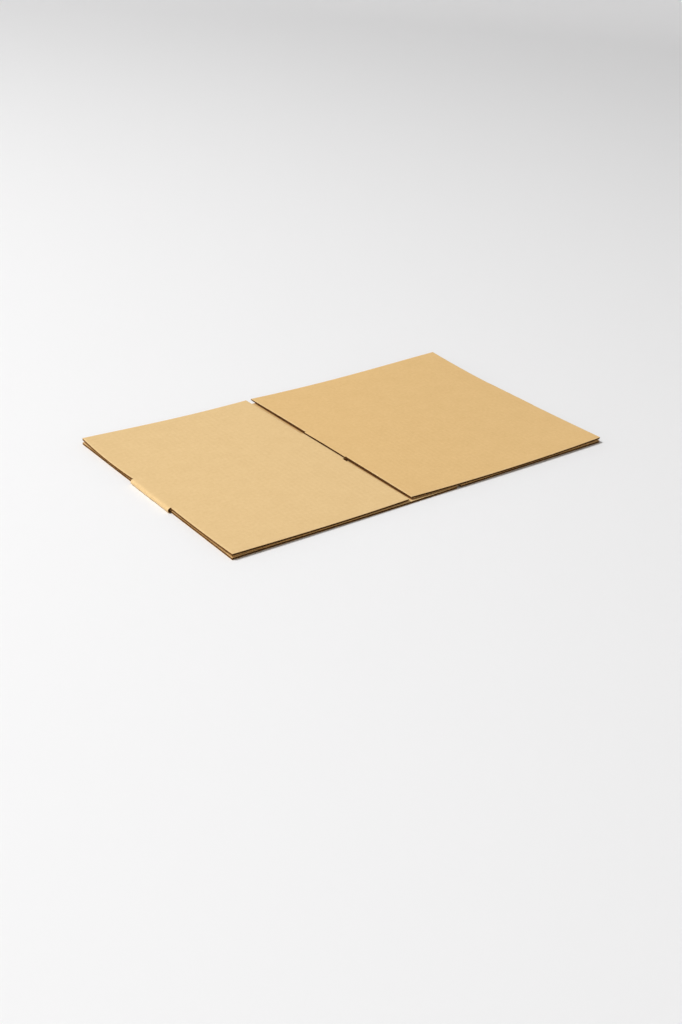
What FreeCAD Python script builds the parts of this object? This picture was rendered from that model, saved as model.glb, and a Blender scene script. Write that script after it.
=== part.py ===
"""A regular slotted carton of single-wall corrugated board, glued and folded flat.

Millimetres, +Z up. +X runs along the front edge, +Y from the front edge to the back one, and
the origin is on the floor under the middle of the flat carton.

The carton is one cut blank: four panels in a ring (long, short, long, short), each with a flap
at the front and a flap at the back. Its ends are joined by a glue tab, and the ring is pressed
flat, so that it lies as two layers of board with a fold at each end. The upper layer is the
short panel on the left, with the glue tab on its edge, and the long panel on the right, which
is glued on top of the tab. The lower layer is the long panel on the left and the short one on
the right. The four upper flaps hinge at their score lines, so each is a solid of its own.
"""
import FreeCAD, Part
import os

import Sketcher

# Driving sizes
SIZES = {
    "long_panel": 304.0,      # from score line to score line, along X
    "short_panel": 232.0,
    "panel_height": 77.0,     # the walls of the set-up box, between the flaps' score lines
    "flap_depth": 115.0,      # from a score line to the free edge
    "board": 3.0,             # thickness of the corrugated board
    "liner": 0.4,             # each flat face of the board
    "medium": 0.35,           # the waved sheet, where it lies on a liner
    "flute_pitch": 6.6,       # from wave to wave
    "flute_crest": 1.0,       # flat inside top of a wave
    "flute_wall": 0.5,        # the waved sheet, measured along the board on its slopes
    "edge_wall": 1.2,         # least board left beside the outermost flutes
    "slot_width": 6.0,        # the cut between two neighbouring flaps, half of it in each
    "seam_gap": 0.5,          # between the two upper panels, over the glue tab
    "tab_width": 34.0,
    "tab_thickness": 1.6,     # the glue tab is crushed thinner than the board
    "tab_taper": 7.0,         # how far the tab's ends slope in
    "layer_gap": 0.4,         # between the lower and the upper layer of board
    "fold_bulge": 1.0,        # how far a fold stands out past its score line
    "fold_radius": 2.8,       # the round of the outer liner at a fold
    "score_width": 4.0,       # groove pressed into the inner face along a score line
    "score_depth": 1.5,
    "score_crush": 5.0,       # beyond the groove, where the flutes are pressed shut
    "hinge_gap": 0.4,         # between an upper panel and its flap
}

# Places along X, measured from the middle
FOLD = "((sizes.long_panel + sizes.short_panel) / 2)"
UPPER_SEAM = "((sizes.short_panel - sizes.long_panel) / 2)"
LOWER_SCORE = "((sizes.long_panel - sizes.short_panel) / 2)"
SEAM_LEFT = f"({UPPER_SEAM} - sizes.seam_gap / 2)"
SEAM_RIGHT = f"({UPPER_SEAM} + sizes.seam_gap / 2)"
TAB_END = f"({UPPER_SEAM} + sizes.tab_width)"
FOLD_END = f"({FOLD} + sizes.fold_bulge)"
HALF_SLOT = "(sizes.slot_width / 2)"
HALF_SCORE = "(sizes.score_width / 2)"

# Places along Y
PANEL_END = "(sizes.panel_height / 2)"
FLAP_END = "(sizes.panel_height / 2 + sizes.flap_depth)"
HINGED_FLAP_START = f"({PANEL_END} + sizes.hinge_gap)"

# Heights
LOWER_TOP = "sizes.board"
LEFT_BOTTOM = "(sizes.board + sizes.layer_gap)"
LEFT_TOP = f"({LEFT_BOTTOM} + sizes.board)"
RIGHT_BOTTOM = f"({LEFT_BOTTOM} + sizes.tab_thickness)"
RIGHT_TOP = f"({RIGHT_BOTTOM} + sizes.board)"

# The left and right edge of each panel's flaps, along X. A flap stands half a slot back from
# its panel's edge, apart from the long upper panel's at the seam: there the blank was trimmed
# straight, flap and panel in one line.
UPPER_LEFT = (f"(-{FOLD} + {HALF_SLOT})", f"({SEAM_LEFT} - {HALF_SLOT})")
UPPER_RIGHT = (SEAM_RIGHT, f"({FOLD} - {HALF_SLOT})")
LOWER_LEFT = (f"(-{FOLD} + {HALF_SLOT})", f"({LOWER_SCORE} - {HALF_SLOT})")
LOWER_RIGHT = (f"({LOWER_SCORE} + {HALF_SLOT})", f"({FOLD} - {HALF_SLOT})")

FRONT = -1
BACK = 1


def write_sizes(document):
    """Put every driving size in the sheet, one row each, with its name as the alias."""
    sheet = document.addObject("Spreadsheet::Sheet", "sizes")
    for row, (name, value) in enumerate(SIZES.items(), start=1):
        sheet.set(f"A{row}", name)
        sheet.set(f"B{row}", str(value))
        sheet.setAlias(f"B{row}", name)
    document.recompute()
    return sheet


def add_sketch(body, name, plane_role, offset="0"):
    """Start a sketch on one of the body's own planes, moved along the plane's normal."""
    plane = next(item for item in body.Origin.OriginFeatures if item.Role == plane_role)
    sketch = body.newObject("Sketcher::SketchObject", name)
    sketch.AttachmentSupport = [(plane, "")]
    sketch.MapMode = "FlatFace"
    sketch.setExpression("AttachmentOffset.Base.z", offset)
    return sketch


def draw_outline(sketch, corners):
    """Draw a closed outline through corners, whose two places are expressions.

    A sketch numbers a line's start as point 1 and its end as point 2, and its own origin is
    point 1 of geometry -1.
    """
    first = sketch.GeometryCount
    count = len(corners)
    values = [tuple(sketch.evalExpression(place) for place in corner) for corner in corners]
    points = [FreeCAD.Vector(float(across), float(up), 0) for across, up in values]
    for index in range(count):
        sketch.addGeometry(Part.LineSegment(points[index], points[(index + 1) % count]))
    for index in range(count):
        this_line = first + index
        next_line = first + (index + 1) % count
        sketch.addConstraint(Sketcher.Constraint("Coincident", this_line, 2, next_line, 1))
    for index, corner in enumerate(corners):
        line = first + index
        for kind, place, value in zip(("DistanceX", "DistanceY"), corner, values[index]):
            number = sketch.addConstraint(
                Sketcher.Constraint(kind, -1, 1, line, 1, float(value)))
            sketch.setExpression(f"Constraints[{number}]", place)


def pad(body, sketch, name, length, symmetric=False):
    """Raise a sketch by length, to one side or evenly to both."""
    feature = body.newObject("PartDesign::Pad", name)
    feature.Profile = sketch
    feature.SideType = "Symmetric" if symmetric else "One side"
    feature.setExpression("Length", length)
    return feature


def cut(body, sketch, name, length, reverse=False):
    """Pocket a sketch against its normal, or along it when reversed."""
    feature = body.newObject("PartDesign::Pocket", name)
    feature.Profile = sketch
    feature.Reversed = reverse
    feature.setExpression("Length", length)
    return feature


def cut_flutes(body, name, edges, bottom, side):
    """Open the flutes of one flap at its free edge.

    The board's section repeats one pair of channels: one under a wave and, half a pitch on,
    one over it. The row of pairs is centred between the flap's side edges.
    """
    left, right = edges
    free_edge = FLAP_END if side == FRONT else f"-{FLAP_END}"
    sketch = add_sketch(body, name + "_section", "XZ_Plane", free_edge)
    half_pitch = "(sizes.flute_pitch / 2)"
    half_crest = "(sizes.flute_crest / 2)"
    half_base = f"({half_pitch} - sizes.flute_wall - {half_crest})"
    room = f"({right} - {left} - 2 * sizes.edge_wall - 2 * {half_base})"
    waves = f"floor(({room} + {half_pitch}) / sizes.flute_pitch)"
    under = f"(({left} + {right} + {half_pitch} - {waves} * sizes.flute_pitch) / 2)"
    over = f"({under} + {half_pitch})"
    floor_level = f"({bottom} + sizes.liner)"
    roof_level = f"({bottom} + sizes.board - sizes.liner)"
    draw_outline(sketch, [
        (f"{under} - {half_base}", floor_level),
        (f"{under} + {half_base}", floor_level),
        (f"{under} + {half_crest}", f"{roof_level} - sizes.medium"),
        (f"{under} - {half_crest}", f"{roof_level} - sizes.medium"),
    ])
    draw_outline(sketch, [
        (f"{over} - {half_crest}", f"{floor_level} + sizes.medium"),
        (f"{over} + {half_crest}", f"{floor_level} + sizes.medium"),
        (f"{over} + {half_base}", roof_level),
        (f"{over} - {half_base}", roof_level),
    ])
    channel_length = f"sizes.flap_depth - {HALF_SCORE} - sizes.score_crush"
    channels = cut(body, sketch, name + "_channels", channel_length, reverse=side == BACK)
    pattern = body.newObject("PartDesign::LinearPattern", name)
    pattern.Originals = [channels]
    pattern.Direction = (next(axis for axis in body.Origin.OriginFeatures
                              if axis.Role == "X_Axis"), [""])
    pattern.Mode = "Spacing"
    pattern.setExpression("Offset", "sizes.flute_pitch")
    pattern.setExpression("Occurrences", waves)
    body.Tip = pattern
    return pattern


def cut_panel_scores(body, name, left, right, inner_face, into_board):
    """Press the flap score lines of one panel into the board's inner face, front and back."""
    sketch = add_sketch(body, name + "_section", "YZ_Plane", right)
    for side in (FRONT, BACK):
        line = f"({side} * {PANEL_END})"
        draw_outline(sketch, [
            (f"{line} - {HALF_SCORE}", inner_face),
            (f"{line} + {HALF_SCORE}", inner_face),
            (line, f"{inner_face} + {into_board} * sizes.score_depth"),
        ])
    return cut(body, sketch, name, f"{right} - {left}")


def round_folds(body, solid):
    """Round the outer liner where it wraps the two end folds."""
    body.Document.recompute()
    fold_end = float(solid.evalExpression(FOLD_END))
    half_length = float(solid.evalExpression(PANEL_END))
    names = []
    for number, edge in enumerate(solid.Shape.Edges, start=1):
        middle = edge.CenterOfMass
        along_fold = abs(edge.Length - 2 * half_length) < Part.Precision.confusion()
        at_end = abs(abs(middle.x) - fold_end) < Part.Precision.confusion()
        if along_fold and at_end:
            names.append(f"Edge{number}")
    fillet = body.newObject("PartDesign::Fillet", "fold_rounds")
    fillet.Base = (solid, names)
    fillet.setExpression("Radius", "sizes.fold_radius")
    return fillet


def build_carton(document):
    """The folded ring of panels with its glue tab and the four flaps of the lower layer."""
    body = document.addObject("PartDesign::Body", "carton")
    body.Label = "carton"

    section = add_sketch(body, "ring_section", "XZ_Plane")
    draw_outline(section, [
        (f"-{FOLD_END}", "0"),
        (FOLD_END, "0"),
        (FOLD_END, RIGHT_TOP),
        (SEAM_RIGHT, RIGHT_TOP),
        (SEAM_RIGHT, RIGHT_BOTTOM),
        (SEAM_LEFT, RIGHT_BOTTOM),
        (SEAM_LEFT, LEFT_TOP),
        (f"-{FOLD_END}", LEFT_TOP),
    ])
    draw_outline(section, [
        (f"-{FOLD}", LOWER_TOP),
        (f"{LOWER_SCORE} - {HALF_SCORE}", LOWER_TOP),
        (LOWER_SCORE, f"{LOWER_TOP} - sizes.score_depth"),
        (f"{LOWER_SCORE} + {HALF_SCORE}", LOWER_TOP),
        (FOLD, LOWER_TOP),
        (FOLD, RIGHT_BOTTOM),
        (TAB_END, RIGHT_BOTTOM),
        (TAB_END, LEFT_BOTTOM),
        (f"-{FOLD}", LEFT_BOTTOM),
    ])
    ring = pad(body, section, "ring", "sizes.panel_height", symmetric=True)
    round_folds(body, ring)

    tab_ends = add_sketch(body, "tab_end_outline", "XY_Plane", RIGHT_BOTTOM)
    for side in (FRONT, BACK):
        draw_outline(tab_ends, [
            (SEAM_RIGHT, f"{side} * {PANEL_END}"),
            (TAB_END, f"{side} * {PANEL_END}"),
            (TAB_END, f"{side} * ({PANEL_END} - sizes.tab_taper)"),
        ])
    cut(body, tab_ends, "tab_ends", "sizes.tab_thickness")

    flaps = add_sketch(body, "lower_flap_outlines", "XY_Plane")
    for left, right in (LOWER_LEFT, LOWER_RIGHT):
        for side in (FRONT, BACK):
            draw_outline(flaps, [
                (left, f"{side} * {PANEL_END}"),
                (right, f"{side} * {PANEL_END}"),
                (right, f"{side} * {FLAP_END}"),
                (left, f"{side} * {FLAP_END}"),
            ])
    pad(body, flaps, "lower_flaps", "sizes.board")

    cut_panel_scores(body, "lower_scores", f"(-{FOLD})", FOLD, LOWER_TOP, -1)
    cut_panel_scores(body, "upper_left_scores", f"(-{FOLD})", SEAM_LEFT, LEFT_BOTTOM, 1)
    cut_panel_scores(body, "upper_right_scores", SEAM_RIGHT, FOLD, RIGHT_BOTTOM, 1)

    for panel, edges in (("lower_left", LOWER_LEFT), ("lower_right", LOWER_RIGHT)):
        cut_flutes(body, panel + "_front_flutes", edges, "0", FRONT)
        cut_flutes(body, panel + "_back_flutes", edges, "0", BACK)
    return body


def build_upper_flap(document, name, edges, bottom, top, side):
    """One flap of the upper layer, with its half of the score groove along the hinge."""
    left, right = edges
    body = document.addObject("PartDesign::Body", name)
    body.Label = name
    section = add_sketch(body, name + "_section", "YZ_Plane", left)
    start = f"{side} * {HINGED_FLAP_START}"
    end = f"{side} * {FLAP_END}"
    groove = f"{side} * ({HINGED_FLAP_START} + {HALF_SCORE})"
    draw_outline(section, [
        (start, top),
        (end, top),
        (end, bottom),
        (groove, bottom),
        (start, f"{bottom} + sizes.score_depth"),
    ])
    pad(body, section, name + "_board", f"{right} - {left}")
    cut_flutes(body, name + "_flutes", edges, bottom, side)
    return body


def check(document, bodies):
    """Stop if any object failed or any body has no sound solid."""
    for item in document.Objects:
        if "Invalid" in item.State or "Error" in item.State:
            raise RuntimeError(f"{item.Label} failed: {item.State}")
    for body in bodies:
        if body.Shape.isNull() or not body.Shape.isValid():
            raise RuntimeError(f"{body.Label} has no valid shape")
        print(body.Label, "solids", len(body.Shape.Solids), "volume", round(body.Shape.Volume, 1))


def main():
    document = FreeCAD.newDocument("flat_carton")
    write_sizes(document)
    bodies = [build_carton(document)]
    for side, word in ((FRONT, "front"), (BACK, "back")):
        bodies.append(build_upper_flap(
            document, f"left_{word}_flap", UPPER_LEFT, LEFT_BOTTOM, LEFT_TOP, side))
        bodies.append(build_upper_flap(
            document, f"right_{word}_flap", UPPER_RIGHT, RIGHT_BOTTOM, RIGHT_TOP, side))
    document.recompute()
    check(document, bodies)
    os.makedirs("parts", exist_ok=True)
    for body in bodies:
        body.Shape.exportStep(f"parts/{body.Label}.step")


main()
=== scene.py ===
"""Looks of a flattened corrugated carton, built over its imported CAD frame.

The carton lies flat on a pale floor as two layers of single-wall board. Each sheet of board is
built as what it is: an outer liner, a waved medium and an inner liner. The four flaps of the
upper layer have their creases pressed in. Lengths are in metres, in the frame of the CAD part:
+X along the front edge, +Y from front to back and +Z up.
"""

import logging
import math
from collections.abc import Callable
from dataclasses import dataclass
from enum import Enum, IntEnum

import bmesh
import bpy
import numpy as np
from mathutils import Matrix, Vector


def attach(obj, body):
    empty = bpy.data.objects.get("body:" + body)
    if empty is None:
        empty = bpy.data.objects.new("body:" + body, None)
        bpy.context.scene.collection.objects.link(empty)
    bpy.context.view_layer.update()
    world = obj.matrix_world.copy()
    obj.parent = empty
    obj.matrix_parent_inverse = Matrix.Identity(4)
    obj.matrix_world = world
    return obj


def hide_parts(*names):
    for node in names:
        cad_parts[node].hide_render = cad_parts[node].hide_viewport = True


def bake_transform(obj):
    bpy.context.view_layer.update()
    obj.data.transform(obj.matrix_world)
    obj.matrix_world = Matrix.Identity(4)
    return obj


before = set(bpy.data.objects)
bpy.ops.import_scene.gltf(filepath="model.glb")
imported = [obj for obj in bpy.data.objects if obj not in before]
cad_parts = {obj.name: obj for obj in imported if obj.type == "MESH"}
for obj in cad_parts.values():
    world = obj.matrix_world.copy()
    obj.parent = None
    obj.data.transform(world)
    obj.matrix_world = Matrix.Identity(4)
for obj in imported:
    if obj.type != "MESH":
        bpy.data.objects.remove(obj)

MM = 0.001
FAR = 1.0  # stands for "nowhere near" where a distance on the board is asked for
WEAR_REACH = 2.5 * MM
EDGE_STEPS = (0.5 * MM, 1.3 * MM, 2.6 * MM)  # mesh rows just inside a cut edge
SHARP_ANGLE = math.radians(38)

log = logging.getLogger("carton")

Array = np.ndarray
Span = tuple[float, float]
Triple = tuple[float, float, float]
Field = Callable[[Array, Array], Array]
Warp = Callable[[Array, Array, Array], tuple[Array, ...]]
Material = bpy.types.Material
Piece = bpy.types.Object
Socket = bpy.types.NodeSocket


class Side(Enum):
    """The side of the hinge line that a flap lies on."""

    FRONT = -1
    BACK = 1

    def span(self, near: float, far: float) -> Span:
        """The span along Y between two distances from the middle, on this side."""
        ends = sorted((self.value * near, self.value * far))
        return ends[0], ends[1]


class Skin(IntEnum):
    """The finish of a face, as its material slot on a board's mesh."""

    OUTER = 0
    INNER = 1
    RIM = 2
    MEDIUM = 3


Skins = tuple[Skin, Skin, Skin]


def smooth(t: Array) -> Array:
    """Eases t from 0 to 1 with level ends."""
    t = np.clip(t, 0.0, 1.0)
    return t * t * (3 - 2 * t)


def around(line: float, half: float, steps: int) -> list[float]:
    """Positions about a line, so many on each side."""
    return [line + k * half / steps for k in range(-steps, steps + 1)]


def stations(span: Span, inner: list[float], edges: tuple[float, ...]) -> Array:
    """Positions along a span: its ends, steps just inside them and the inner ones between.

    Args:
        span: lowest and highest position.
        inner: further positions, kept where they are clear of the others.
        edges: distances from either end at which a position is added.

    Returns:
        The positions in rising order, each clear of the last.
    """
    fixed = [span[0], span[1]]
    fixed += [span[0] + step for step in edges] + [span[1] - step for step in edges]
    clear = 0.15 * MM
    kept = sorted(set(fixed))
    for place in inner:
        if span[0] < place < span[1] and min(abs(place - other) for other in kept) > clear:
            kept.append(place)
    return np.array(sorted(kept))


@dataclass(frozen=True)
class Layout:
    """Where the folded blank's edges, creases and layers lie."""

    fold_start: float = 264 * MM
    fold_reach: float = 5 * MM
    right_fold_reach: float = 3.6 * MM
    flap_edge: float = 265 * MM
    panel_half: float = 38.5 * MM
    hinge: float = 38.7 * MM
    crease_start: float = 36.5 * MM
    bend_start: float = 36.9 * MM
    bend_end: float = 40.5 * MM
    flap_end: float = 153.5 * MM
    seam_left: float = -36.25 * MM
    seam_right: float = -35.75 * MM
    left_slot: float = -39.25 * MM
    right_slot: float = -34.05 * MM
    lower_slot: Span = (33 * MM, 39 * MM)
    lower_crease: float = 36 * MM
    tab_end: float = -2 * MM
    lower_top: float = 3.0 * MM
    layer_gap: float = 0.4 * MM
    left_top: float = 6.4 * MM
    right_top: float = 8.0 * MM


@dataclass(frozen=True)
class Fluting:
    """Single-wall board: thickness, papers, the wave between them and how it is crushed."""

    board: float = 3.0 * MM
    liner: float = 0.42 * MM
    medium: float = 0.3 * MM
    least_swing: float = 0.02 * MM
    pitch: float = 6.6 * MM
    phase: float = 1.1 * MM
    washboard: float = 0.05 * MM
    edge_crush: float = 0.28 * MM
    edge_reach: float = 0.9 * MM
    inner_share: float = 0.6
    slot_crush: float = 0.2 * MM
    slot_reach: float = 2.2 * MM
    tip_crush: float = 1.1 * MM
    tip_reach: float = 9.0 * MM
    rounding_reach: float = 1.6 * MM
    rounding_fade: float = 8 * MM
    crease_valley: float = 0.1 * MM
    crease_groove: float = 1.45 * MM
    crease_half: float = 2.6 * MM

    def turn(self, x: Array) -> Array:
        """The wave's angle at each place along X."""
        return (x - self.phase) * 2 * math.pi / self.pitch


@dataclass(frozen=True)
class Window:
    """A rectangle that is left out of a sheet, cut away or carried on by another piece."""

    x: Span
    y: Span
    carried_on: bool = False

    def holds(self, x: Array, y: Array) -> Array:
        """Whether each point is inside the rectangle."""
        return (x > self.x[0]) & (x < self.x[1]) & (y > self.y[0]) & (y < self.y[1])

    def distance(self, x: Array, y: Array) -> Array:
        """How far each point is from the rectangle."""
        across = np.maximum(np.maximum(self.x[0] - x, x - self.x[1]), 0)
        along = np.maximum(np.maximum(self.y[0] - y, y - self.y[1]), 0)
        return np.hypot(across, along)


@dataclass(frozen=True)
class Plan:
    """The outline of a sheet seen from above, with its windows and its kinds of edge."""

    x: Span
    y: Span
    windows: tuple[Window, ...] = ()
    joined: tuple[str, ...] = ()  # edges that aren't crushed, most of them joined to a piece
    raw: str = ""  # the side that was cut for a slot or at the joint
    side_joint: float = 0.0  # up to here from the middle, the sides are joined to a piece
    joint_fade: float = 2.5 * MM

    def raw_distance(self, x: Array) -> Array:
        """How far each point is from the edge that was cut for a slot."""
        if not self.raw:
            return np.full_like(x, FAR)
        return x - self.x[0] if self.raw == "left" else self.x[1] - x

    def edge_distance(self, x: Array, y: Array) -> Array:
        """How far each point is from the nearest cut edge."""
        sides = {
            "left": x - self.x[0],
            "right": self.x[1] - x,
            "front": y - self.y[0],
            "back": self.y[1] - y,
        }
        if self.side_joint:
            joint = smooth((self.side_joint + self.joint_fade - np.abs(y)) / self.joint_fade)
            for name in ("left", "right"):
                sides[name] = sides[name] + 2 * self.joint_fade * joint
        free = [away for name, away in sides.items() if name not in self.joined]
        free += [window.distance(x, y) for window in self.windows if not window.carried_on]
        if not free:
            return np.full_like(x, FAR)
        return np.maximum(np.minimum.reduce(free), 0)


class Shell:
    """Collects closed sheets and ribbons, then makes one mesh object of them."""

    def __init__(self) -> None:
        self.points: list[Array] = []
        self.maps: list[Array] = []
        self.wear: list[Array] = []
        self.faces: list[tuple[int, ...]] = []
        self.skins: list[int] = []
        self.count = 0

    def _store(self, place: tuple[Array, ...], flat: tuple[Array, Array], wear: Array) -> int:
        """Adds points, where they lie and on the flat sheet; returns the number of the first."""
        first = self.count
        x, y, z = np.broadcast_arrays(*place)
        self.points.append(np.stack([x, y, z], axis=-1).reshape(-1, 3))
        self.maps.append(np.stack(flat, axis=-1).reshape(-1, 2))
        self.wear.append(np.broadcast_to(wear, x.shape).reshape(-1))
        self.count += x.size
        return first

    def add_sheet(self, columns: Array, rows: Array, plan: Plan, upper: Field,
                  lower: Field, skins: Skins, warp: Warp | None = None) -> None:
        """Adds a closed sheet between two height fields.

        Args:
            columns: positions of its points along X.
            rows: positions of its points along Y.
            plan: outline with the windows that are left out.
            upper: height of the upper face.
            lower: height of the lower face.
            skins: finish of the upper face, the lower face and the cut edges.
            warp: how the sheet lies, away from flat.
        """
        x, y = np.meshgrid(columns, rows, indexing="ij")
        wear = np.clip(1 - plan.edge_distance(x, y) / WEAR_REACH, 0, 1)
        starts = []
        for height in (upper, lower):
            z = height(x, y)
            place = warp(x, y, z) if warp else (x, y, z)
            starts.append(self._store(place, (x, y), wear))
        middle_x, middle_y = np.meshgrid((columns[1:] + columns[:-1]) / 2,
                                         (rows[1:] + rows[:-1]) / 2, indexing="ij")
        kept = np.ones(middle_x.shape, bool)
        for window in plan.windows:
            kept &= ~window.holds(middle_x, middle_y)
        self._cells(kept, len(rows), starts[0], starts[1], skins, plan.raw)

    def add_ribbon(self, outer: Array, inner: Array, rows: Array, skins: Skins,
                   ripple: Field | None = None) -> None:
        """Adds a closed sheet that follows two paths in the XZ plane, carried along Y.

        Args:
            outer: points (x, z) of the path on its outer face.
            inner: as many points of the path on its inner face.
            rows: positions along Y.
            skins: finish of the outer face, the inner face and the cut edges.
            ripple: outward shift by place along the path, from 0 to 1, and Y.
        """
        share = np.linspace(0, 1, len(outer))
        t, y = np.meshgrid(share, rows, indexing="ij")
        along = np.zeros(len(outer))
        along[1:] = np.cumsum(np.linalg.norm(np.diff(outer, axis=0), axis=1))
        run = outer[0, 0] + np.broadcast_to(along[:, None], t.shape)
        out = outer - inner
        out = out / np.maximum(np.linalg.norm(out, axis=1, keepdims=True), 1e-9)
        shift = ripple(t, y) if ripple else np.zeros_like(t)
        wear = np.clip(1 - np.minimum(y - rows[0], rows[-1] - y) / WEAR_REACH, 0, 1)
        starts = []
        for path in (outer, inner):
            x = path[:, 0][:, None] + out[:, 0][:, None] * shift
            z = path[:, 1][:, None] + out[:, 1][:, None] * shift
            starts.append(self._store((x, y, z), (run, y), wear))
        kept = np.ones((len(outer) - 1, len(rows) - 1), bool)
        self._cells(kept, len(rows), starts[0], starts[1], skins)

    def _cells(self, kept: Array, height: int, top: int, low: int, skins: Skins,
               raw: str = "") -> None:
        """Adds the faces of the kept cells and a wall at each cell's open side.

        Args:
            kept: which cells of the grid there are.
            height: how many points a column of the grid has.
            top: number of the upper face's first point.
            low: number of the lower face's first point.
            skins: finish of the upper face, the lower face and the walls.
            raw: the side whose walls take the medium's dark paper instead, painted shade in the
                slot and the joint.
        """
        padded = np.pad(kept, 1)
        for i, j in zip(*np.nonzero(kept)):
            a = i * height + j
            b = a + height
            c = b + 1
            d = a + 1
            self._face((top + a, top + b, top + c, top + d), skins[0])
            self._face((low + d, low + c, low + b, low + a), skins[1])
            walls = (
                (padded[i, j + 1], a, d, "left"),
                (padded[i + 2, j + 1], c, b, "right"),
                (padded[i + 1, j], b, a, "front"),
                (padded[i + 1, j + 2], d, c, "back"),
            )
            for neighbour, p, q, side in walls:
                if not neighbour:
                    # painted shade: the liners' walls on the cut side take the dark medium, so the
                    # slot and the joint look dark
                    skin = Skin.MEDIUM if side == raw else skins[2]
                    self._face((top + p, top + q, low + q, low + p), skin)

    def _face(self, corners: tuple[int, ...], skin: Skin) -> None:
        """Adds one face."""
        self.faces.append(tuple(int(corner) for corner in corners))
        self.skins.append(int(skin))

    def make(self, name: str, finishes: list[Material]) -> Piece:
        """Makes the object.

        Args:
            name: its name.
            finishes: one material for each skin, in order.

        Returns:
            The linked object, its mesh cleaned and shaded.
        """
        mesh = bpy.data.meshes.new(name)
        mesh.from_pydata(np.concatenate(self.points).tolist(), [], self.faces)
        for finish in finishes:
            mesh.materials.append(finish)
        mesh.polygons.foreach_set("material_index", np.array(self.skins, np.int32))
        flat = np.concatenate(self.maps)
        corners = np.empty(len(mesh.loops), np.int32)
        mesh.loops.foreach_get("vertex_index", corners)
        layer = mesh.uv_layers.new(name="sheet")
        layer.data.foreach_set("uv", flat[corners].astype(np.float32).reshape(-1))
        wear = mesh.attributes.new("wear", "FLOAT", "POINT")
        wear.data.foreach_set("value", np.concatenate(self.wear).astype(np.float32))
        self._clean(mesh)
        mesh.set_sharp_from_angle(angle=SHARP_ANGLE)
        piece = bpy.data.objects.new(name, mesh)
        bpy.context.scene.collection.objects.link(piece)
        return piece

    def _clean(self, mesh: bpy.types.Mesh) -> None:
        """Removes unused points, turns every face outward and shades it smooth."""
        clean = bmesh.new()
        clean.from_mesh(mesh)
        loose = [vert for vert in clean.verts if not vert.link_faces]
        bmesh.ops.delete(clean, geom=loose, context="VERTS")
        bmesh.ops.recalc_face_normals(clean, faces=clean.faces)
        for face in clean.faces:
            face.smooth = True
        clean.to_mesh(mesh)
        clean.free()


@dataclass(frozen=True)
class Grain:
    """A layer of noise on a sheet, and how the part of its range that shows is used."""

    scale: Span  # features a metre along X and Y
    low: float
    high: float
    detail: float = 3.0
    rough: float = 0.55
    turn: float = 0.0
    least: float = 0.0
    most: float = 1.0


class Nodes:
    """Short helpers to lay out a material's node tree."""

    def __init__(self, name: str) -> None:
        self.material = bpy.data.materials.new(name)
        self.material.use_nodes = True
        self.tree = self.material.node_tree
        self.tree.nodes.clear()
        self.shader = self.tree.nodes.new("ShaderNodeBsdfPrincipled")
        output = self.tree.nodes.new("ShaderNodeOutputMaterial")
        self.link(self.shader.outputs["BSDF"], output.inputs["Surface"])

    def link(self, source: Socket, target: Socket) -> None:
        """Joins two sockets."""
        self.tree.links.new(source, target)

    def sheet(self, scale: Span, turn: float = 0.0) -> Socket:
        """The place on the sheet, in metres, times a scale for each direction."""
        place = self.tree.nodes.new("ShaderNodeUVMap")
        place.uv_map = "sheet"
        mapping = self.tree.nodes.new("ShaderNodeMapping")
        mapping.inputs["Scale"].default_value = (scale[0], scale[1], 1)
        mapping.inputs["Rotation"].default_value = (0, 0, turn)
        self.link(place.outputs["UV"], mapping.inputs["Vector"])
        return mapping.outputs["Vector"]

    def grain(self, grain: Grain) -> Socket:
        """A grain's noise, spread from its least to its most."""
        texture = self.tree.nodes.new("ShaderNodeTexNoise")
        texture.inputs["Scale"].default_value = 1.0
        texture.inputs["Detail"].default_value = grain.detail
        texture.inputs["Roughness"].default_value = grain.rough
        self.link(self.sheet(grain.scale, grain.turn), texture.inputs["Vector"])
        return self.spread(texture.outputs["Fac"], (grain.low, grain.high),
                           (grain.least, grain.most))

    def math(self, operation: str, first: Socket | float, second: Socket | float = 0.0) -> Socket:
        """One sum on two sockets or numbers."""
        node = self.tree.nodes.new("ShaderNodeMath")
        node.operation = operation
        for socket, value in zip(node.inputs, (first, second)):
            if isinstance(value, Socket):
                self.link(value, socket)
            else:
                socket.default_value = value
        return node.outputs[0]

    def spread(self, value: Socket, source: Span, target: Span) -> Socket:
        """Maps a range of a value to another, held at its ends."""
        node = self.tree.nodes.new("ShaderNodeMapRange")
        names = ("From Min", "From Max", "To Min", "To Max")
        for name, number in zip(names, (*source, *target)):
            node.inputs[name].default_value = number
        self.link(value, node.inputs["Value"])
        return node.outputs["Result"]

    def mix(self, share: Socket, first: Socket | Triple, second: Socket | Triple) -> Socket:
        """A colour between two, by a share from 0 to 1."""
        node = self.tree.nodes.new("ShaderNodeMix")
        node.data_type = "RGBA"
        self.link(share, node.inputs["Factor"])
        for name, value in (("A", first), ("B", second)):
            socket = [s for s in node.inputs if s.name == name and s.type == "RGBA"][0]
            if isinstance(value, Socket):
                self.link(value, socket)
            else:
                socket.default_value = (*value, 1.0)
        return [s for s in node.outputs if s.type == "RGBA"][0]

    def attribute(self, name: str) -> Socket:
        """A number kept on the mesh."""
        node = self.tree.nodes.new("ShaderNodeAttribute")
        node.attribute_name = name
        return node.outputs["Fac"]

    def bump(self, height: Socket, depth: float, below: Socket | None = None) -> Socket:
        """A normal from a height of that depth in metres, over the normal below it."""
        node = self.tree.nodes.new("ShaderNodeBump")
        node.inputs["Distance"].default_value = depth
        self.link(height, node.inputs["Height"])
        if below is not None:
            self.link(below, node.inputs["Normal"])
        return node.outputs["Normal"]


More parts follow.
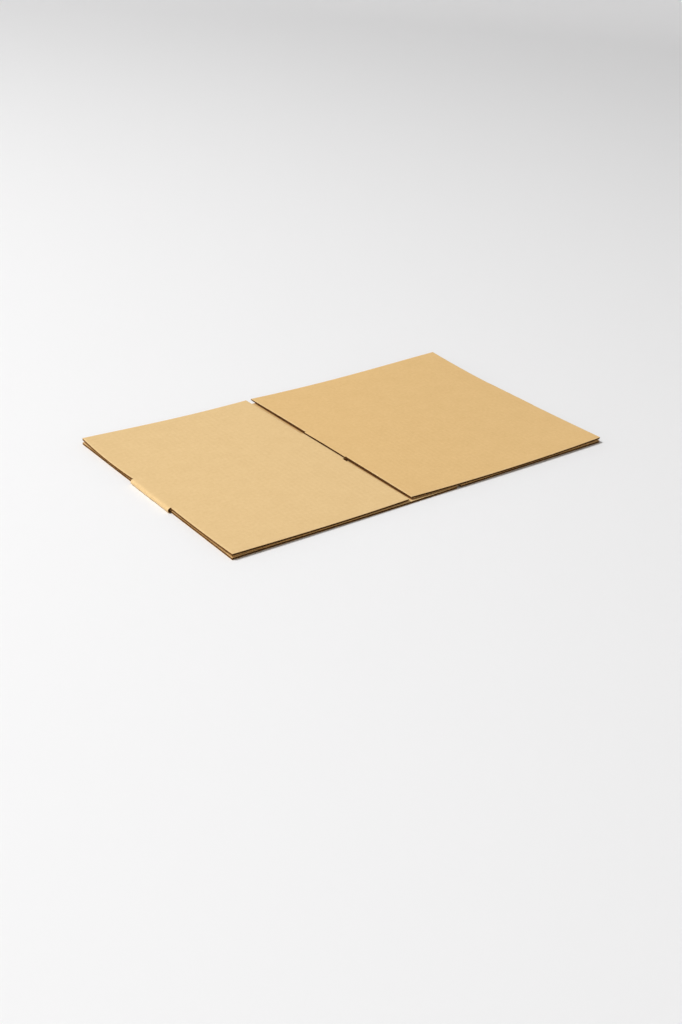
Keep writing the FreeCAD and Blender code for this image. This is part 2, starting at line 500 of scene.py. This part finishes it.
@dataclass(frozen=True)
class KraftLiner:
    """Kraft paper on a face of the board, with fibres, clouds and painted shade in faint lines
    along the flutes.
    """

    name: str
    pale: Triple
    deep: Triple
    fibre: Triple = (0.56, 0.36, 0.155)
    worn: Triple = (0.84, 0.62, 0.34)
    clouds: Grain = Grain((34, 46), 0.34, 0.68, detail=5.0)
    formation: Grain = Grain((230, 260), 0.32, 0.7, detail=5.0, rough=0.65)
    streaks: Grain = Grain((60, 620), 0.38, 0.66)
    shares: Triple = (0.26, 0.54, 0.2)  # of clouds, formation and streaks in the colour
    specks: Grain = Grain((900, 1500), 0.66, 0.76, detail=2.0, turn=0.4, most=0.55)
    hairs: Grain = Grain((420, 2400), 0.62, 0.72, detail=2.0, turn=-0.5, most=0.4)
    rubbing: Grain = Grain((160, 160), 0.35, 0.65)
    rubbed: float = 0.7
    # painted shade in the washboard's dips: its patches, where the lines start and how dark they
    # get
    flute_shade_patches: Grain = Grain((18, 26), 0.4, 0.7, least=0.25)
    flute_shade_from: Span = (0.2, -1.0)
    flute_shade_depth: float = 0.16
    roughness: Span = (0.72, 0.86)
    specular: float = 0.32
    coarse_relief: float = 0.05 * MM
    fine_relief: float = 0.02 * MM

    def make(self) -> Material:
        """Builds the material."""
        nodes = Nodes(self.name)
        layers = [nodes.grain(grain) for grain in (self.clouds, self.formation, self.streaks)]
        parts = [nodes.math("MULTIPLY", layer, part) for layer, part in zip(layers, self.shares)]
        share = nodes.math("ADD", nodes.math("ADD", parts[0], parts[1]), parts[2])
        colour = nodes.mix(share, self.pale, self.deep)
        # painted shade: darker lines in the dips between the flutes
        colour = nodes.mix(self._painted_flute_shade(nodes), colour, self.deep)
        colour = nodes.mix(nodes.grain(self.specks), colour, self.fibre)
        colour = nodes.mix(nodes.grain(self.hairs), colour, self.worn)
        rub = nodes.math("MULTIPLY", nodes.attribute("wear"), nodes.grain(self.rubbing))
        colour = nodes.mix(nodes.math("MULTIPLY", rub, self.rubbed), colour, self.worn)
        nodes.link(colour, nodes.shader.inputs["Base Color"])
        _, formation, streaks = layers
        nodes.link(nodes.spread(formation, (0, 1), self.roughness),
                   nodes.shader.inputs["Roughness"])
        nodes.shader.inputs["Specular IOR Level"].default_value = self.specular
        coarse = nodes.bump(formation, self.coarse_relief)
        nodes.link(nodes.bump(streaks, self.fine_relief, coarse), nodes.shader.inputs["Normal"])
        return nodes.material

    def _painted_flute_shade(self, nodes: Nodes) -> Socket:
        """Painted shade of the washboard: how much the paper is darkened in the dips between the
        flutes.
        """
        split = nodes.tree.nodes.new("ShaderNodeSeparateXYZ")
        nodes.link(nodes.sheet((1, 1)), split.inputs["Vector"])
        turns = nodes.math("MULTIPLY", nodes.math("SUBTRACT", split.outputs["X"], Fluting.phase),
                           2 * math.pi / Fluting.pitch)
        line = nodes.spread(nodes.math("COSINE", turns), self.flute_shade_from, (0.0, self.flute_shade_depth))
        return nodes.math("MULTIPLY", line, nodes.grain(self.flute_shade_patches))


@dataclass(frozen=True)
class RawPaper:
    """Bare paper: the waved medium, or the cut edge of a sheet."""

    name: str
    pale: Triple
    deep: Triple
    clouds: Grain = Grain((70, 70), 0.35, 0.68, detail=4.0)
    fluff: Grain = Grain((900, 900), 0.36, 0.66)
    cloud_share: float = 0.5
    roughness: Span = (0.82, 0.95)
    specular: float = 0.2
    relief: float = 0.06 * MM

    def make(self) -> Material:
        """Builds the material."""
        nodes = Nodes(self.name)
        clouds = nodes.grain(self.clouds)
        fluff = nodes.grain(self.fluff)
        share = nodes.math("ADD", nodes.math("MULTIPLY", clouds, self.cloud_share),
                           nodes.math("MULTIPLY", fluff, 1 - self.cloud_share))
        nodes.link(nodes.mix(share, self.pale, self.deep), nodes.shader.inputs["Base Color"])
        nodes.link(nodes.spread(fluff, (0, 1), self.roughness), nodes.shader.inputs["Roughness"])
        nodes.shader.inputs["Specular IOR Level"].default_value = self.specular
        nodes.link(nodes.bump(fluff, self.relief), nodes.shader.inputs["Normal"])
        return nodes.material


@dataclass(frozen=True)
class Wardrobe:
    """The materials of the board, in the order of the skins, for either half of the carton."""

    left: list[Material]
    right: list[Material]

    @classmethod
    def make(cls) -> "Wardrobe":
        """Builds the materials."""
        outer = [
            KraftLiner("kraft_outer_left", (0.812, 0.575, 0.284), (0.728, 0.500, 0.233)).make(),
            # painted shade: the right half's copy of the same liner is darker and deeper, for the
            # light falling off across the carton
            KraftLiner("kraft_outer_right_painted_shade", (0.802, 0.538, 0.239), (0.718, 0.466, 0.193)).make(),
        ]
        shared = [
            KraftLiner("kraft_inner", (0.72, 0.49, 0.225), (0.64, 0.43, 0.19)).make(),
            # The cut edge and the medium have the paper's own brown with painted shade in it: both
            # are darker and deeper for the shade in the flutes and along the edges.
            RawPaper("kraft_cut_edge_painted_shade", (0.52, 0.29, 0.095), (0.35, 0.178, 0.052)).make(),
            RawPaper("kraft_medium_painted_shade", (0.17, 0.074, 0.018), (0.105, 0.041, 0.009)).make(),
        ]
        return cls([outer[0], *shared], [outer[1], *shared])

    def half(self, name: str) -> list[Material]:
        """The materials for a piece, by the half that its name says."""
        return self.right if "right" in name else self.left


@dataclass(frozen=True)
class Lie:
    """How an upper sheet lies: lifted corners, drooping edges and a slight skew.

    Each pair of lengths is for the front flap and the back flap.
    """

    column: Span
    outer_edge: float
    lifts: dict[tuple[str, str], float]
    tilt: float = 0.0
    skew: float = 0.0
    spread: float = 0.0
    slips: Span = (0.0, 0.0)
    sags: Span = (0.0, 0.0)
    bows: Span = (0.0, 0.0)
    flares: Span = (0.0, 0.0)
    fans: Span = (0.0, 0.0)
    tilt_start: float = 5 * MM
    lift_across: float = 1.6
    lift_along: float = 1.7
    sag_along: float = 1.5
    layout: Layout = Layout()

    def place(self, x: Array, y: Array, z: Array) -> tuple[Array, ...]:
        """Moves points from the flat sheet to where they lie.

        Args:
            x: along the front edge.
            y: from front to back.
            z: height on the flat sheet.

        Returns:
            The moved x, y and z.
        """
        at = self.layout
        reach = np.clip((np.abs(y) - at.hinge) / (at.flap_end - at.hinge), 0, 1)
        across = np.clip((x - self.column[0]) / (self.column[1] - self.column[0]), 0, 1)
        seam_side = across if self.outer_edge < 0 else 1 - across
        arch = 4 * across * (1 - across)
        front = y < 0
        lift = np.zeros_like(z)
        for (end, side), amount in self.lifts.items():
            along = smooth(across if end == "right" else 1 - across) ** self.lift_across
            mine = front if side == "front" else ~front
            lift += np.where(mine, amount * along * reach ** self.lift_along, 0)
        lift -= np.where(front, *self.sags) * arch * reach ** self.sag_along
        lift -= self.tilt * smooth((x - self.tilt_start) / (at.fold_start - self.tilt_start))
        skew = self.spread + self.skew * y / at.flap_end + np.where(front, *self.fans) * reach
        bulge = 4 * reach * (1 - reach) * (1 - seam_side) ** 2
        flare = np.where(front, *self.flares) * np.sign(self.outer_edge) * bulge
        slip = np.where(front, *self.slips) * seam_side * reach
        bow = np.where(front, *self.bows) * arch * reach
        return x + (skew * seam_side + flare), y + (slip + bow), z + lift


@dataclass(frozen=True)
class LowerLie:
    """How the lower layer lies: its flaps stand further forward near the joint."""

    centre: float = -37 * MM
    reach: float = 228 * MM
    back_shift: float = -6.5 * MM
    front_shift: float = -1.2 * MM
    layout: Layout = Layout()

    def place(self, x: Array, y: Array, z: Array) -> tuple[Array, ...]:
        """Moves points from the flat sheet to where they lie.

        Args:
            x: along the front edge.
            y: from front to back.
            z: height on the flat sheet.

        Returns:
            The moved x, y and z.
        """
        at = self.layout
        out = np.clip((np.abs(y) - at.hinge) / (at.flap_end - at.hinge), 0, 1)
        hump = 1 - smooth(np.abs(x - self.centre) / self.reach)
        shift = np.where(y > 0, self.back_shift, self.front_shift)
        return x, y + shift * hump * out, z


@dataclass(frozen=True)
class Board:
    """One sheet of single-wall board, cut to a plan."""

    plan: Plan
    bottom: float
    up: bool  # whether the outer liner faces up
    creases: tuple[float, ...]
    warp: Warp | None = None
    cross_crease: float | None = None
    rounding: float = 0.0
    per_flute: int = 6
    medium_per_flute: int = 8
    crease_steps: int = 5
    cross_steps: int = 4
    row_step: float = 11 * MM
    least_rows: int = 3
    stock: Fluting = Fluting()

    def crease(self, x: Array, y: Array) -> Array:
        """How deep the board is creased at each point, from 0 to 1."""
        away = [np.abs(y - line) for line in self.creases]
        if self.cross_crease is not None:
            away.append(np.abs(x - self.cross_crease))
        near = np.clip(np.minimum.reduce(away) / self.stock.crease_half, 0, 1)
        return np.cos(near * math.pi / 2) ** 2

    def edge(self, x: Array, y: Array) -> Array:
        """How strongly the nearest cut edge is felt, from 0 to 1."""
        return np.exp(-self.plan.edge_distance(x, y) / self.stock.edge_reach)

    def outside(self, x: Array, y: Array) -> Array:
        """How far the outer liner's face is pressed in."""
        stock = self.stock
        press = stock.edge_crush * self.edge(x, y)
        press += stock.washboard * (1 - np.cos(stock.turn(x))) / 2
        press += self.seam_rounding(x, y)
        return press + stock.crease_valley * self.crease(x, y)

    def seam_rounding(self, x: Array, y: Array) -> Array:
        """How far the back end of the seam's edge is rounded off; it fades out on the flap."""
        depth = self.rounding * np.clip(y / Layout.crease_start, 0, 1)
        fade = 1 - smooth((y - Layout.crease_start) / self.stock.rounding_fade)
        return depth * fade * np.exp(-np.abs(x - Layout.seam_right) / self.stock.rounding_reach)

    def inside(self, x: Array, y: Array) -> Array:
        """How far the inner liner's face is pressed in."""
        stock = self.stock
        press = stock.inner_share * stock.edge_crush * self.edge(x, y)
        press += stock.washboard * (1 + np.cos(stock.turn(x))) / 2
        tip = np.exp((np.abs(y) - Layout.flap_end) / stock.tip_reach)
        crush = stock.slot_crush + stock.tip_crush * tip
        press += crush * np.exp(-self.plan.raw_distance(x) / stock.slot_reach)
        return press + stock.crease_groove * self.crease(x, y)

    def top(self, x: Array, y: Array) -> Array:
        """Height of the upper face."""
        press = self.outside(x, y) if self.up else self.inside(x, y)
        return self.bottom + self.stock.board - press

    def low(self, x: Array, y: Array) -> Array:
        """Height of the lower face."""
        press = self.inside(x, y) if self.up else self.outside(x, y)
        return self.bottom + press

    def medium(self, x: Array, y: Array, side: int) -> Array:
        """Height of the medium's faces.

        Args:
            x: along the front edge.
            y: from front to back.
            side: 1 for the upper face, -1 for the lower one.

        Returns:
            The height at each point, between the two liners.
        """
        stock = self.stock
        top = self.top(x, y) - stock.liner
        low = self.low(x, y) + stock.liner
        turn = stock.turn(x)
        swing = np.maximum((top - low - stock.medium) / 2, stock.least_swing)
        slope = swing * 2 * math.pi / stock.pitch * np.sin(turn)
        half = np.minimum(stock.medium / 2 * np.sqrt(1 + slope ** 2), stock.medium)
        return (top + low) / 2 + swing * np.cos(turn) + side * half

    def columns(self, per_flute: int) -> Array:
        """Positions along X, so many to a flute, with the windows' edges."""
        step = self.stock.pitch / per_flute
        first = math.ceil((self.plan.x[0] - self.stock.phase) / step)
        last = math.floor((self.plan.x[1] - self.stock.phase) / step)
        inner = [edge for window in self.plan.windows for edge in window.x]
        if self.cross_crease is not None:
            inner += around(self.cross_crease, self.stock.crease_half, self.cross_steps)
        inner += [self.stock.phase + k * step for k in range(first, last + 1)]
        return stations(self.plan.x, inner, EDGE_STEPS)

    def rows(self) -> Array:
        """Positions along Y, close together at creases and cut edges."""
        inner = [edge for window in self.plan.windows for edge in window.y]
        for line in self.creases:
            inner += around(line, self.stock.crease_half, self.crease_steps)
        low, high = self.plan.y
        count = max(int((high - low) / self.row_step), self.least_rows)
        inner += list(np.linspace(low, high, count))
        no_ends = {"front", "back"} <= set(self.plan.joined)
        return stations(self.plan.y, inner, () if no_ends else EDGE_STEPS)

    def build(self, shell: Shell) -> None:
        """Adds the two liners and the medium to a shell."""
        liner = self.stock.liner
        face, back = (Skin.OUTER, Skin.INNER) if self.up else (Skin.INNER, Skin.OUTER)
        rows = self.rows()
        columns = self.columns(self.per_flute)
        shell.add_sheet(columns, rows, self.plan, self.top,
                        lambda x, y: self.top(x, y) - liner,
                        (face, Skin.MEDIUM, Skin.RIM), self.warp)
        shell.add_sheet(columns, rows, self.plan,
                        lambda x, y: self.low(x, y) + liner, self.low,
                        (Skin.MEDIUM, back, Skin.RIM), self.warp)
        shell.add_sheet(self.columns(self.medium_per_flute), rows, self.plan,
                        lambda x, y: self.medium(x, y, 1), lambda x, y: self.medium(x, y, -1),
                        (Skin.MEDIUM, Skin.MEDIUM, Skin.MEDIUM), self.warp)


def ride_on(piece: Piece, body: str, node: str) -> Piece:
    """Puts a piece on a body, in place of a CAD node, and returns it."""
    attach(piece, body)
    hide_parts(node)
    return piece


@dataclass(frozen=True)
class LowerLayer:
    """The lower layer: short and long panel with four flaps, lying on the floor."""

    per_flute: int = 4
    row_step: float = 40 * MM
    layout: Layout = Layout()

    def plan(self) -> Plan:
        """The layer's outline, with its slots and the strips that the two folds carry on."""
        at = self.layout
        panel = (-at.panel_half, at.panel_half)
        windows = [
            Window((-at.flap_edge - MM, -at.fold_start), panel, carried_on=True),
            Window((at.fold_start, at.flap_edge + MM), panel, carried_on=True),
        ]
        for side in Side:
            windows.append(Window(at.lower_slot, side.span(at.panel_half, at.flap_end + MM)))
        return Plan((-at.flap_edge, at.flap_edge), (-at.flap_end, at.flap_end), tuple(windows),
                    side_joint=at.panel_half)

    def build(self, wardrobe: Wardrobe) -> Piece:
        """Makes the layer and puts it on the carton."""
        at = self.layout
        shell = Shell()
        Board(self.plan(), 0.0, up=False, creases=(-at.panel_half, at.panel_half),
              warp=LowerLie().place, cross_crease=at.lower_crease, per_flute=self.per_flute,
              row_step=self.row_step).build(shell)
        return ride_on(shell.make("carton_lower_layer", wardrobe.left), "carton", "carton")


@dataclass(frozen=True)
class UpperPanel:
    """A panel of the upper layer between its two flap creases."""

    name: str
    plan: Plan
    bottom: float
    lie: Lie
    rounding: float

    def build(self, wardrobe: Wardrobe) -> Piece:
        """Makes the panel and puts it on the carton."""
        shell = Shell()
        Board(self.plan, self.bottom, up=True, creases=(-Layout.hinge, Layout.hinge),
              warp=self.lie.place, rounding=self.rounding).build(shell)
        return ride_on(shell.make(self.name, wardrobe.half(self.name)), "carton", "carton")


@dataclass(frozen=True)
class Flap:
    """A flap of the upper layer with its crease."""

    body: str
    side: Side
    plan: Plan
    bottom: float
    lie: Lie
    rounding: float
    layout: Layout = Layout()

    def build(self, wardrobe: Wardrobe) -> Piece:
        """Makes the flap and hides the CAD part of its body."""
        at = self.layout
        sign = self.side.value
        shell = Shell()
        Board(self.plan, self.bottom, up=True, creases=(sign * at.hinge,),
              warp=self.lie.place, rounding=self.rounding).build(shell)
        piece = shell.make(f"{self.body}_board", wardrobe.half(self.body))
        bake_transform(piece)
        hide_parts(self.body)
        return piece


@dataclass(frozen=True)
class Column:
    """Half of the upper layer: a panel with its front and its back flap."""

    name: str
    panel_x: Span
    flap_x: Span
    bottom: float
    lie: Lie
    rounding: float = 0.0
    seam_crushed: bool = True
    layout: Layout = Layout()

    @property
    def raw(self) -> str:
        """The side at the joint, where the board was cut."""
        return "left" if self.name == "right" else "right"

    @property
    def crease_x(self) -> Span:
        """Where the panel and its flaps meet at a crease."""
        return max(self.panel_x[0], self.flap_x[0]), min(self.panel_x[1], self.flap_x[1])

    def panel(self) -> UpperPanel:
        """The panel, less the strips at its creases that the flaps carry on."""
        at = self.layout
        strips = [
            Window(self.crease_x, side.span(at.crease_start, at.panel_half + MM), carried_on=True)
            for side in Side
        ]
        joined = (self.name, "front", "back")
        if not self.seam_crushed:
            joined += (self.raw,)
        plan = Plan(self.panel_x, (-at.panel_half, at.panel_half), tuple(strips), joined, self.raw)
        return UpperPanel(f"carton_{self.name}_panel", plan, self.bottom, self.lie, self.rounding)

    def flap(self, side: Side) -> Flap:
        """The flap on one side, with the panel's strip at their crease."""
        at = self.layout
        low, high = self.crease_x
        strip = side.span(at.crease_start - MM, at.panel_half)
        beyond = (
            Window((self.flap_x[0] - MM, low), strip, carried_on=True),
            Window((high, self.flap_x[1] + MM), strip, carried_on=True),
        )
        joined = ("back" if side is Side.FRONT else "front",)
        plan = Plan(self.flap_x, side.span(at.crease_start, at.flap_end), beyond, joined, self.raw,
                    side_joint=at.panel_half)
        return Flap(f"{self.name}_{side.name.lower()}_flap", side, plan, self.bottom, self.lie,
                    self.rounding)

    def pieces(self) -> list[UpperPanel | Flap]:
        """The panel and its flaps, ready to be built."""
        return [self.panel(), *(self.flap(side) for side in Side)]


def upper_columns(at: Layout) -> tuple[Column, Column]:
    """The short panel and its flaps, and the long ones, which slope from the tab to the fold.

    Args:
        at: where the blank's edges and creases lie.

    Returns:
        The left column and the right one.
    """
    left = Lie((-at.flap_edge, at.seam_left), -at.flap_edge,
               {("left", "back"): 2.1 * MM, ("left", "front"): 1.1 * MM,
                ("right", "back"): 0.0 * MM, ("right", "front"): -0.1 * MM},
               skew=-1.4 * MM, sags=(0.7 * MM, 1.1 * MM), bows=(-0.9 * MM, -0.8 * MM),
               flares=(0.6 * MM, 2.0 * MM), fans=(0.9 * MM, 0.0))
    right = Lie((at.seam_right, at.flap_edge), at.flap_edge,
                {("right", "back"): 4.7 * MM, ("right", "front"): 1.3 * MM,
                 ("left", "back"): -1.0 * MM, ("left", "front"): -0.6 * MM},
                tilt=1.6 * MM, spread=0.05 * MM, slips=(1.2 * MM, -0.6 * MM),
                sags=(1.5 * MM, 1.7 * MM), bows=(-2.2 * MM, -0.4 * MM), fans=(0.8 * MM, 0.0))
    return (
        Column("left", (-at.fold_start, at.seam_left), (-at.flap_edge, at.left_slot),
               at.left_top - Fluting.board, left),
        Column("right", (at.seam_right, at.fold_start), (at.right_slot, at.flap_edge),
               at.right_top - Fluting.board, right, rounding=0.5 * MM, seam_crushed=False),
    )


@dataclass(frozen=True)
class WrappedFold:
    """A fold at an end of the carton, with the outer liner wrapped round the crushed board.

    A squareness of 2 makes an elliptic nose, and a higher one a squarer nose.
    """

    name: str
    sign: int
    height: float
    reach: float
    squareness: float
    steps: int = 41
    rows: int = 27
    row_margin: float = 0.5 * MM
    dent: float = 0.2 * MM
    dent_turns: Triple = (67.0, 210.0, 431.0)  # radians a metre of the long, short and fine dents
    fine_share: float = 0.6
    core_inset: float = 0.35 * MM
    core_squareness: float = 2.4
    deep_inset: float = 0.45 * MM
    deep_squareness: float = 2.2
    crumple_waves: int = 2
    crumple_swing: float = 0.3
    crumple_thickness: float = 0.16
    inner_thickness: float = 0.4 * MM
    inner_squareness: float = 2.0
    layout: Layout = Layout()
    stock: Fluting = Fluting()

    def path(self, inset: float, square: float) -> Array:
        """Points (x, z) of a wrap that far inside the outer face.

        Args:
            inset: distance from the outer face.
            square: how square the nose is.

        Returns:
            The points, from the upper board round the nose to the lower board.
        """
        angle = (0.5 - self.share()) * math.pi
        across = np.abs(np.cos(angle)) ** (2 / square)
        up = np.sign(np.sin(angle)) * np.abs(np.sin(angle)) ** (2 / square)
        x = self.layout.fold_start + (self.reach - inset) * across
        z = self.height / 2 + (self.height / 2 - inset) * up
        return np.stack([self.sign * x, z], axis=1)

    def share(self) -> Array:
        """Places along a wrap, from 0 at the top to 1 at the bottom."""
        return np.linspace(0, 1, self.steps)

    def dents(self, t: Array, y: Array) -> Array:
        """Slight dents in the wrapped liner, none where it meets the panels."""
        long, short, fine = self.dent_turns
        waves = np.sin(y * short + 1.3) * np.sin(y * long + t * 3)
        waves += self.fine_share * np.sin(y * fine + t * 5)
        return (waves - 1 - self.fine_share) * self.dent * np.sin(t * math.pi) ** 2

    def crumpled_medium(self) -> tuple[Array, Array]:
        """The outer and the inner path of the medium, crumpled between the two liners."""
        core = self.path(self.stock.liner + self.core_inset, self.core_squareness)
        deep = self.path(self.stock.board - self.stock.liner - self.deep_inset,
                         self.deep_squareness)
        turns = self.share() * self.crumple_waves * 2 * math.pi
        wave = (0.5 + self.crumple_swing * np.cos(turns))[:, None]
        behind = wave - self.crumple_thickness
        return core * wave + deep * (1 - wave), core * behind + deep * (1 - behind)

    def build(self, wardrobe: Wardrobe) -> Piece:
        """Makes the fold and puts it on the carton."""
        half = self.layout.panel_half
        inner_rows = np.linspace(self.row_margin - half, half - self.row_margin, self.rows)
        rows = stations((-half, half), list(inner_rows), EDGE_STEPS[:2])
        shell = Shell()
        shell.add_ribbon(self.path(0.0, self.squareness),
                         self.path(self.stock.liner, self.squareness), rows,
                         (Skin.OUTER, Skin.MEDIUM, Skin.RIM), self.dents)
        shell.add_ribbon(*self.crumpled_medium(), rows, (Skin.MEDIUM, Skin.MEDIUM, Skin.MEDIUM))
        deepest = self.stock.board - self.stock.liner
        shell.add_ribbon(self.path(deepest, self.inner_squareness),
                         self.path(deepest + self.inner_thickness, self.inner_squareness), rows,
                         (Skin.MEDIUM, Skin.INNER, Skin.RIM))
        return ride_on(shell.make(self.name, wardrobe.half(self.name)), "carton", "carton")


@dataclass(frozen=True)
class GlueTab:
    """The crushed tab of the left panel, glued under the edge of the right one."""

    thickness: float = 1.6 * MM
    taper: float = 7 * MM
    flute_print: float = 0.12 * MM
    lap: float = 2 * MM
    end_gap: float = 0.3 * MM
    columns: int = 34
    rows: int = 24
    layout: Layout = Layout()

    @property
    def bottom(self) -> float:
        """Height of the tab's lower face."""
        return self.layout.lower_top + self.layout.layer_gap

    def face(self, x: Array, side: int) -> Array:
        """Height of the upper face, 1, or the lower one, -1, with the flutes' print."""
        dent = self.flute_print * (1 - side * np.cos(x * 2 * math.pi / Fluting.pitch)) / 2
        return self.bottom + self.thickness - dent if side > 0 else self.bottom + dent

    def taper_off(self, x: Array, y: Array, z: Array) -> tuple[Array, ...]:
        """Moves points of a straight strip, which narrows towards the tab's free edge."""
        at = self.layout
        share = np.clip((x - at.seam_left) / (at.tab_end - at.seam_left), 0, 1)
        return x, y * (1 - self.taper / at.panel_half * share), z

    def build(self, wardrobe: Wardrobe) -> Piece:
        """Makes the tab and puts it on the carton."""
        at = self.layout
        half = at.panel_half - self.end_gap
        columns = np.linspace(at.seam_left - self.lap, at.tab_end, self.columns)
        rows = np.linspace(-half, half, self.rows)
        plan = Plan((columns[0], columns[-1]), (rows[0], rows[-1]))
        shell = Shell()
        shell.add_sheet(columns, rows, plan, lambda x, y: self.face(x, 1),
                        lambda x, y: self.face(x, -1), (Skin.OUTER, Skin.INNER, Skin.RIM),
                        self.taper_off)
        return ride_on(shell.make("carton_glue_tab", wardrobe.left), "carton", "carton")


@dataclass(frozen=True)
class Studio:
    """The pale floor with its round backdrop, the key light and the ambient light."""

    floor_rings: tuple[float, ...] = (0.0, 0.5, 1.5, 3.4)
    sweep_radius: float = 1.2
    sweep_height: float = 1.5
    sweep_steps: int = 12
    spin_steps: int = 96
    weld: float = 1e-5
    floor_colour: Triple = (0.873, 0.873, 0.878)
    floor_roughness: float = 0.9
    floor_specular: float = 0.1
    ambient: float = 0.262
    ambient_colour: Triple = (1.0, 0.985, 0.97)
    key_power: float = 284.0
    key_from: Triple = (-2.85, 1.35, 4.85)
    key_size: float = 1.6

    def profile(self) -> list[Span]:
        """Radius and height from the floor's middle to the top of its backdrop."""
        edge = self.floor_rings[-1]
        points = [(radius, 0.0) for radius in self.floor_rings]
        for k in range(1, self.sweep_steps + 1):
            turn = k / self.sweep_steps * math.pi / 2
            points.append((edge + self.sweep_radius * math.sin(turn),
                           self.sweep_radius * (1 - math.cos(turn))))
        points.append((edge + self.sweep_radius, self.sweep_height))
        return points

    def floor(self) -> None:
        """A disc that sweeps up all round, so that no horizon shows."""
        mesh = bmesh.new()
        verts = [mesh.verts.new((radius, 0, height)) for radius, height in self.profile()]
        edges = [mesh.edges.new(pair) for pair in zip(verts, verts[1:])]
        bmesh.ops.spin(mesh, geom=verts + edges, cent=(0, 0, 0), axis=(0, 0, 1),
                       angle=2 * math.pi, steps=self.spin_steps, use_merge=True)
        bmesh.ops.remove_doubles(mesh, verts=mesh.verts, dist=self.weld)
        bmesh.ops.recalc_face_normals(mesh, faces=mesh.faces)
        for face in mesh.faces:
            face.smooth = True
        data = bpy.data.meshes.new("floor")
        mesh.to_mesh(data)
        mesh.free()
        floor = bpy.data.objects.new("floor", data)
        bpy.context.scene.collection.objects.link(floor)
        data.materials.append(self.floor_material())

    def floor_material(self) -> Material:
        """Plain pale matt paper."""
        material = bpy.data.materials.new("studio_floor")
        material.use_nodes = True
        shader = material.node_tree.nodes["Principled BSDF"]
        shader.inputs["Base Color"].default_value = (*self.floor_colour, 1)
        shader.inputs["Roughness"].default_value = self.floor_roughness
        shader.inputs["Specular IOR Level"].default_value = self.floor_specular
        return material

    def key_light(self) -> None:
        """A square soft light that looks at the origin."""
        data = bpy.data.lights.new("key_light", "AREA")
        data.energy = self.key_power
        data.size = self.key_size
        light = bpy.data.objects.new("key_light", data)
        light.location = self.key_from
        light.rotation_euler = (-Vector(self.key_from)).to_track_quat("-Z", "Y").to_euler()
        bpy.context.scene.collection.objects.link(light)

    def build(self) -> None:
        """Sets up floor, light and world."""
        self.floor()
        self.key_light()
        world = bpy.data.worlds.new("studio")
        world.use_nodes = True
        background = world.node_tree.nodes["Background"]
        background.inputs["Color"].default_value = (*self.ambient_colour, 1)
        background.inputs["Strength"].default_value = self.ambient
        bpy.context.scene.world = world
        bpy.context.scene.view_settings.view_transform = "Standard"


@dataclass(frozen=True)
class PhotoCamera:
    """The camera, where the photograph was taken from. Angles are in degrees."""

    azimuth: float = -39.523
    elevation: float = 28.101
    roll: float = 3.847
    target: Triple = (-0.1112, -0.130, 0.0)
    distance: float = 1.4177
    lens: float = 47.01
    sensor_width: float = 36.0
    clip_start: float = 0.01

    def build(self) -> None:
        """Makes the camera and looks through it."""
        azimuth, elevation, roll = (
            math.radians(angle) for angle in (self.azimuth, self.elevation, self.roll)
        )
        back = Vector((math.sin(azimuth) * math.cos(elevation),
                       -math.cos(azimuth) * math.cos(elevation),
                       math.sin(elevation)))
        right = Vector((math.cos(azimuth), math.sin(azimuth), 0))
        up = back.cross(right)
        across = right * math.cos(roll) + up * math.sin(roll)
        upright = up * math.cos(roll) - right * math.sin(roll)
        place = Vector(self.target) + back * self.distance
        data = bpy.data.cameras.new("camera")
        data.lens = self.lens
        data.sensor_width = self.sensor_width
        data.clip_start = self.clip_start
        camera = bpy.data.objects.new("camera", data)
        turn = Matrix((across, upright, back)).transposed()
        camera.matrix_world = Matrix.Translation(place) @ turn.to_4x4()
        bpy.context.scene.collection.objects.link(camera)
        bpy.context.scene.camera = camera


def main() -> None:
    """Builds the carton, the studio and the camera in order."""
    logging.basicConfig(level=logging.INFO)
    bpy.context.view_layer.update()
    at = Layout()
    wardrobe = Wardrobe.make()
    PhotoCamera().build()
    Studio().build()
    left, right = upper_columns(at)
    parts = (
        LowerLayer(),
        *left.pieces(),
        *right.pieces(),
        WrappedFold("carton_left_fold", -1, at.left_top, at.fold_reach, 2.4),
        WrappedFold("carton_right_fold", 1, at.left_top, at.right_fold_reach, 2.0),
        GlueTab(),
    )
    for part in parts:
        piece = part.build(wardrobe)
        log.info("%s: %d faces", piece.name, len(piece.data.polygons))


if __name__ == "__main__":
    main()
